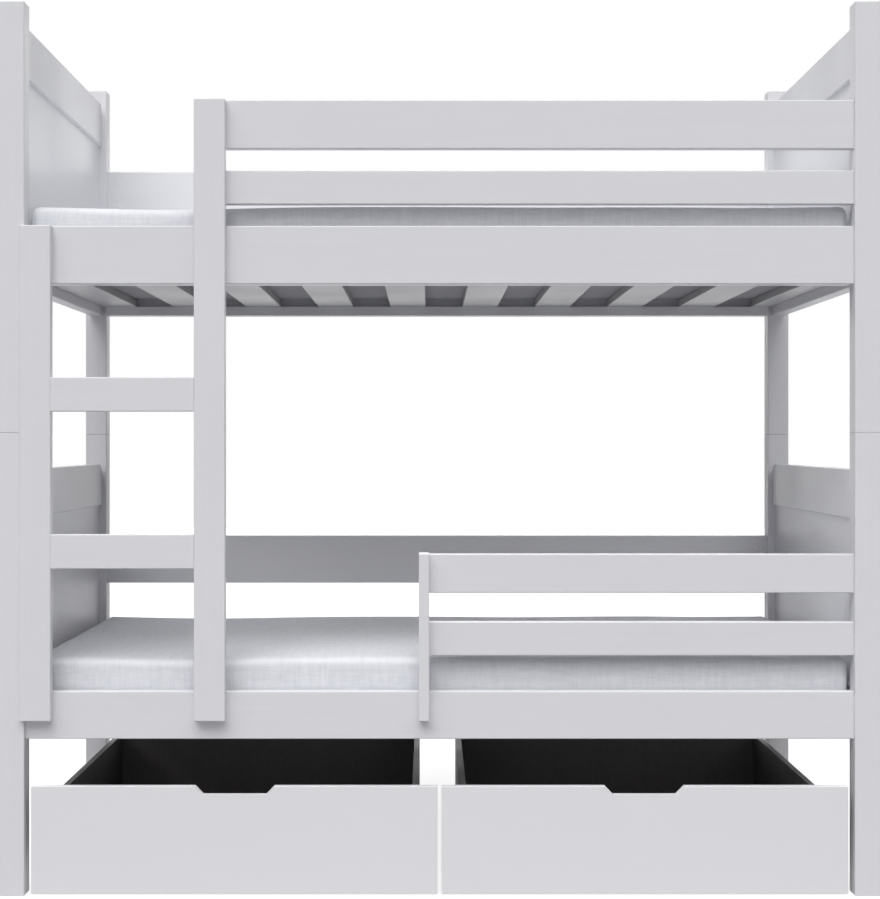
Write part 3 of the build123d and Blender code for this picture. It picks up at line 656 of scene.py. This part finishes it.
def bakeTree(name, mesh, tree, values):
    # Runs the tree on a mesh and keeps the result as a plain piece
    source = bpy.data.objects.new(name + "_source", mesh)
    bpy.context.scene.collection.objects.link(source)
    modifier = source.modifiers.new("nodes", "NODES")
    modifier.node_group = tree
    for socket in tree.interface.items_tree:
        if socket.in_out == "INPUT" and socket.name in values:
            modifier[socket.identifier] = values[socket.name]
    graph = bpy.context.evaluated_depsgraph_get()
    made = bpy.data.meshes.new_from_object(source.evaluated_get(graph))
    bpy.data.objects.remove(source)
    piece = bpy.data.objects.new(name, made)
    bpy.context.scene.collection.objects.link(piece)
    return piece


plateScrews = {"Head Radius": 0.003, "Head Height": 0.0013, "Across": 0.023, "Along": 0.034,
               "Slot Wide": 0.0008}
castor = {"sheet": 0.002, "wheelWide": 0.012}   # the plate's thickness and a wheel's width
screwTree = makeScrewTree()


def makePlateScrews(drawer):
    # Under the plate's four corners, at both castors of each axle line
    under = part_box(drawer + "_castor_frames")[1].z - castor["sheet"]
    spots = []
    for row in ("front", "rear"):
        low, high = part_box(drawer + "_" + row + "_wheels")
        for x in (low.x + castor["wheelWide"] / 2, high.x - castor["wheelWide"] / 2):
            spots.append((x, (low.y + high.y) / 2, under))
    mesh = bpy.data.meshes.new(drawer + "_castor_spots")
    mesh.from_pydata(spots, [], [])
    piece = bakeTree(drawer + "_plate_screws", mesh, screwTree,
                     {**plateScrews, "Finish": materials["zinc"]})
    piece.data.shade_smooth()
    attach(piece, drawer)


for drawer in ("drawer_left", "drawer_right"):
    makePlateScrews(drawer)
print("castor screws made")


caps = {"Flatness": 0.05, "nutReach": 1.16, "screwReach": 1.25}


def solidBoxes(piece):
    # The lowest and highest corner of each separate solid in a node
    shape = bmesh.new()
    shape.from_mesh(piece.data)
    bmesh.ops.remove_doubles(shape, verts=shape.verts, dist=1e-6)
    left = set(shape.verts)
    boxes = []
    for first in shape.verts:
        if first not in left:
            continue
        left.remove(first)
        found, places = [first], []
        while found:
            vertex = found.pop()
            places.append(vertex.co)
            for edge in vertex.link_edges:
                other = edge.other_vert(vertex)
                if other in left:
                    left.remove(other)
                    found.append(other)
        boxes.append((Vector([min(place[axis] for place in places) for axis in range(3)]),
                      Vector([max(place[axis] for place in places) for axis in range(3)])))
    shape.free()
    return boxes


def makeCaps():
    # White covers over the nuts and the screw heads on the inner faces of the boards
    inner = {-1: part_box("upper_side_rail_front")[1].y, 1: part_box("upper_side_rail_back")[0].y}
    places, outward, reach = [], [], []
    for node, grow in (("barrel_nuts", caps["nutReach"]), ("wood_screws", caps["screwReach"])):
        for low, high in solidBoxes(nodes[node]):
            if high.y - low.y < max(high.x - low.x, high.z - low.z):
                continue
            row = 1 if low.y + high.y > 0 else -1
            face = low.y if row > 0 else high.y
            if node == "barrel_nuts":
                face = inner[row]
            places.append(((low.x + high.x) / 2, face, (low.z + high.z) / 2))
            outward += [0.0, -row, 0.0]
            reach.append(grow * (high.x - low.x) / 2)
    mesh = bpy.data.meshes.new("cap_spots")
    mesh.from_pydata(places, [], [])
    mesh.attributes.new("outward", "FLOAT_VECTOR", "POINT").data.foreach_set("vector", outward)
    mesh.attributes.new("reach", "FLOAT", "POINT").data.foreach_set("value", reach)
    piece = bakeTree("frame_cover_caps", mesh, makeCapTree(),
                     {"Flatness": caps["Flatness"], "Finish": materials["capPlastic"]})
    piece.data.shade_smooth()
    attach(piece, "frame")
    print("cover caps made:", len(places))


makeCaps()


# Mattresses: a foam block in a fitted cover, swollen a little by a cloth simulation

mattress = {
    "voxel": 0.010, "pressure": 4.0, "frames": 20, "quality": 4,   # the cloth simulation
    "mostMove": 0.003, "evenings": 8,
    "dips": ((-0.53, 0.20, 0.0048), (0.62, 0.10, 0.0012), (0.20, 0.16, 0.0010)),
    "ripple": 0.0012, "ripplePitch": 0.34, "rippleUp": 0.4, "lift": 0.0004, "proud": 0.006,
    "edgeRound": 0.015, "edgeSegments": 5,
    "wider": 0.0015, "taller": {"lower": 0.002, "upper": 0.004},   # than the CAD mattress
}


def plainCopy(piece, modifiers):
    # A new mesh from the piece with these modifiers on it
    made = bpy.data.objects.new("making", piece.data.copy())
    bpy.context.scene.collection.objects.link(made)
    for kind, settings in modifiers:
        modifier = made.modifiers.new(kind, kind)
        for label, value in settings.items():
            setattr(modifier, label, value)
    graph = bpy.context.evaluated_depsgraph_get()
    mesh = bpy.data.meshes.new_from_object(made.evaluated_get(graph))
    bpy.data.objects.remove(made)
    return mesh


def sag(spot, low, high, seed):
    # Depth of the dips (place along the bed, spread, depth) and the ripples at a point of the
    # cover, nothing at its lower face
    up = (spot.z - low.z) / (high.z - low.z)
    depth = sum(deep * math.exp(-((spot.x - x) / spread) ** 2)
                for x, spread, deep in mattress["dips"])
    wave = noise.noise(Vector((spot.x, spot.y, seed)) / mattress["ripplePitch"])
    return max(0.0, up) ** 2 * (depth + mattress["ripple"] * (wave + mattress["rippleUp"]))


def swell(piece):
    # Cloth with air pressure and no weight, run for a few frames
    piece.modifiers.new("cover", "CLOTH")
    settings = piece.modifiers["cover"].settings
    settings.use_pressure = True
    settings.uniform_pressure_force = mattress["pressure"]
    settings.effector_weights.gravity = 0.0
    settings.quality = mattress["quality"]
    scene = bpy.context.scene
    for number in range(1, mattress["frames"] + 1):
        scene.frame_set(number)
    graph = bpy.context.evaluated_depsgraph_get()
    swollen = bpy.data.meshes.new_from_object(piece.evaluated_get(graph))
    places = [vertex.co.copy() for vertex in swollen.vertices]
    piece.modifiers.clear()
    scene.frame_set(1)
    bpy.data.meshes.remove(swollen)
    return places


def foamBlock(level, low, high):
    shape = bmesh.new()
    bmesh.ops.create_cube(shape, size=1.0)
    for vertex in shape.verts:
        vertex.co = Vector([(a + b) / 2 + c * (b - a) for a, b, c in zip(low, high, vertex.co)])
    bmesh.ops.bevel(shape, geom=shape.edges[:], offset=mattress["edgeRound"],
                    segments=mattress["edgeSegments"], profile=0.5, affect="EDGES")
    block = bpy.data.meshes.new(level + "_foam")
    shape.to_mesh(block)
    shape.free()
    return block


def evened(moves, mesh):
    # Each vertex takes the mean of its own move and its neighbours'
    near = [[] for vertex in mesh.vertices]
    for edge in mesh.edges:
        one, two = edge.vertices
        near[one].append(two)
        near[two].append(one)
    for turn in range(mattress["evenings"]):
        moves = [(move + sum((moves[other] for other in others), Vector())) / (1 + len(others))
                 for move, others in zip(moves, near)]
    return moves


def cappedMoves(start, moved):
    for before, after in zip(start, moved):
        step = after - before
        if step.length > mattress["mostMove"]:
            step *= mattress["mostMove"] / step.length
        yield step


def makeMattress(level, seed):
    node = level + "_mattress"
    low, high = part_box(node)
    side = Vector((mattress["wider"], mattress["wider"], 0.0))
    least, most = low - side, high + side + Vector((0.0, 0.0, mattress["taller"][level]))
    centre, half = (least + most) / 2, (most - least) / 2
    block = foamBlock(level, least, most)
    form = BVHTree.FromPolygons([v.co for v in block.vertices],
                                [p.vertices for p in block.polygons])
    cover = bpy.data.objects.new(level + "_mattress_cover", block)
    bpy.context.scene.collection.objects.link(cover)
    mesh = cover.data = plainCopy(cover, [("REMESH", {"mode": "VOXEL",
                                                      "voxel_size": mattress["voxel"]})])
    start = [vertex.co.copy() for vertex in mesh.vertices]
    moves = [Vector() for place in start]
    moves = evened(list(cappedMoves(start, swell(cover))), mesh)
    for vertex, place, move in zip(mesh.vertices, start, moves):
        spot = form.find_nearest(place)[0] + move
        spot.z -= sag(spot, low, high, seed)
        vertex.co = spot
    for axis in (0, 1):   # the sides come back to the size that the cloth drew in
        far = max(abs(vertex.co[axis] - centre[axis]) for vertex in mesh.vertices)
        for vertex in mesh.vertices:
            vertex.co[axis] = centre[axis] + (vertex.co[axis] - centre[axis]) * half[axis] / far
    for vertex in mesh.vertices:
        vertex.co.z = min(max(vertex.co.z, low.z + mattress["lift"]), high.z + mattress["proud"])
    cover.data = plainCopy(cover, [("SUBSURF", {"levels": 1, "render_levels": 1})])
    cover.data.shade_smooth()
    dress(cover, materials["cloth"])
    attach(cover, "frame")
    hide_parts(node)
    print(level, "mattress cover made:", len(cover.data.polygons), "faces")
    return cover


seam = {
    "Ridge Radius": 0.0011, "Stitch Pitch": 0.0055, "Stitch Long": 0.0036,
    "Thread Radius": 0.00045, "Aside": 0.0028,
}
seamPath = {
    "inset": 0.045, "fromFoot": 0.008, "pivotBelow": 0.045, "turnTo": 118.0,
    "heights": 9, "turns": 16,
}
seamTree = makeSeamTree()


def seamCorners(low, high):
    # For each corner: a point inside it, and the way it faces
    inset = seamPath["inset"]
    for sx in (-1, 1):
        for sy in (-1, 1):
            middle = Vector(((low.x if sx < 0 else high.x) - sx * inset,
                             (low.y if sy < 0 else high.y) - sy * inset, 0.0))
            yield middle, Vector((sx, sy, 0.0)).normalized()


def sewnPath(cover, middle, away, low, high):
    # Points on the cover from its foot up the corner and over the edge, with its normals
    tree = BVHTree.FromPolygons([v.co for v in cover.data.vertices],
                                [p.vertices for p in cover.data.polygons])
    pivotHigh = high.z - seamPath["pivotBelow"]
    footHigh = low.z + seamPath["fromFoot"]
    rays = []
    for step in range(seamPath["heights"]):
        height = footHigh + (pivotHigh - footHigh) * step / seamPath["heights"]
        rays.append((middle + Vector((0.0, 0.0, height)), away))
    for step in range(seamPath["turns"] + 1):
        angle = math.radians(seamPath["turnTo"] * step / seamPath["turns"])
        rays.append((middle + Vector((0.0, 0.0, pivotHigh)),
                     away * math.cos(angle) + Vector((0.0, 0.0, math.sin(angle)))))
    hits = [tree.ray_cast(start, way) for start, way in rays]
    return [(place, normal) for place, normal, face, reach in hits if place is not None]


def makeSeams(cover, node):
    low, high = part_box(node)
    places, links, outward = [], [], []
    for middle, away in seamCorners(low, high):
        path = sewnPath(cover, middle, away, low, high)
        links += [(len(places) + step, len(places) + step + 1) for step in range(len(path) - 1)]
        places += [place for place, normal in path]
        outward += [part for place, normal in path for part in normal]
    mesh = bpy.data.meshes.new("seamPath")
    mesh.from_pydata(places, links, [])
    facing = mesh.attributes.new("outward", "FLOAT_VECTOR", "POINT")
    facing.data.foreach_set("vector", outward)
    piece = bakeTree(cover.name.replace("cover", "seams"), mesh, seamTree,
                     {**seam, "Cloth": materials["cloth"], "Thread": materials["thread"]})
    piece.data.shade_smooth()
    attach(piece, "frame")


for level, seed in (("lower", 0.0), ("upper", 7.0)):
    makeSeams(makeMattress(level, seed), level + "_mattress")
print("mattress covers and seams made")


# Floor, light and camera

stageSettings = {
    "floorHalf": 14.0, "floorColour": (0.32, 0.32, 0.325, 1.0), "floorLift": 0.86,
    "floorRoughness": 0.9, "skyLevel": 0.05,
}


def whiteForView(tree):
    # The camera, mirrors and glass see white here; everything else sees the light itself
    path = addNode(tree, "ShaderNodeLightPath").outputs
    seen = calc(tree, "MAXIMUM", path["Is Camera Ray"], path["Is Glossy Ray"])
    return calc(tree, "MAXIMUM", seen, path["Is Transmission Ray"])


def makeFloor():
    half = stageSettings["floorHalf"]
    shape = bmesh.new()
    corners = [shape.verts.new((x * half, y * half, 0.0))
               for x, y in ((-1, -1), (1, -1), (1, 1), (-1, 1))]
    shape.faces.new(corners)
    mesh = bpy.data.meshes.new("floor")
    shape.to_mesh(mesh)
    shape.free()
    floor = bpy.data.objects.new("floor", mesh)
    bpy.context.scene.collection.objects.link(floor)
    material, tree, skin = newMaterial("paleFloor", Roughness=stageSettings["floorRoughness"])
    skin.inputs["Base Color"].default_value = stageSettings["floorColour"]
    skin.inputs["Specular IOR Level"].default_value = 0.0
    glow = addNode(tree, "ShaderNodeEmission",
                   {"Strength": calc(tree, "MULTIPLY", whiteForView(tree),
                                     stageSettings["floorLift"])})
    both = addNode(tree, "ShaderNodeAddShader", {0: skin.outputs[0], 1: glow.outputs[0]})
    end = next(node for node in tree.nodes if node.type == "OUTPUT_MATERIAL")
    tree.links.new(both.outputs[0], end.inputs["Surface"])
    dress(floor, material)


def makeSky():
    world = bpy.data.worlds.new("studio")
    world.use_nodes = True
    bpy.context.scene.world = world
    tree = world.node_tree
    tree.nodes.clear()
    strength = addNode(tree, "ShaderNodeMix",
                       {"Factor": whiteForView(tree), "A": stageSettings["skyLevel"], "B": 1.0})
    sky = addNode(tree, "ShaderNodeBackground",
                  {"Color": (1.0, 1.0, 1.0, 1.0), "Strength": strength.outputs[0]})
    end = addNode(tree, "ShaderNodeOutputWorld")
    tree.links.new(sky.outputs[0], end.inputs["Surface"])


lampSettings = {   # wide soft suns, so that the light is the same at every height
    "high": {"from": (0.0, -1.0, 1.2), "spread": 50.0, "strength": 0.95},
    "steep": {"from": (0.0, -0.36, 1.0), "spread": 22.0, "strength": 0.47},
    "overhead": {"from": (0.0, 0.0, 1.0), "spread": 30.0, "strength": 0.31},
    "front": {"from": (0.0, -1.0, 0.27), "spread": 45.0, "strength": 0.34},
    "frontRight": {"from": (1.0, -1.0, 1.7), "spread": 45.0, "strength": 0.45},
    "frontLeft": {"from": (-1.0, -1.0, 1.7), "spread": 45.0, "strength": 1.34},
    "right": {"from": (1.0, -0.3, 0.8), "spread": 60.0, "strength": 0.25},
    "back": {"from": (0.0, 1.0, 0.2), "spread": 30.0, "strength": 0.30},
}


def makeLamps():
    for name, setting in lampSettings.items():
        light = bpy.data.lights.new(name, "SUN")
        light.angle = math.radians(setting["spread"])
        light.energy = setting["strength"]
        lamp = bpy.data.objects.new(name + "Lamp", light)
        aim = -Vector(setting["from"])
        lamp.rotation_euler = aim.to_track_quat("-Z", "Y").to_euler()
        bpy.context.scene.collection.objects.link(lamp)


cameraSettings = {
    "place": (-0.0227, -3.781, 0.8745), "lens": 69.4, "sensor": 36.0,
    "shift": (12.2 / 899, -7.5 / 899),
}


def makeCamera():
    lens = bpy.data.cameras.new("view")
    lens.lens = cameraSettings["lens"]
    lens.sensor_width = cameraSettings["sensor"]
    lens.shift_x, lens.shift_y = cameraSettings["shift"]
    camera = bpy.data.objects.new("view", lens)
    camera.location = cameraSettings["place"]
    camera.rotation_euler = (math.pi / 2, 0.0, 0.0)
    bpy.context.scene.collection.objects.link(camera)
    bpy.context.scene.camera = camera


makeFloor()
makeSky()
makeLamps()
makeCamera()
bpy.context.scene.view_settings.view_transform = "Standard"
print("floor, light and camera made")
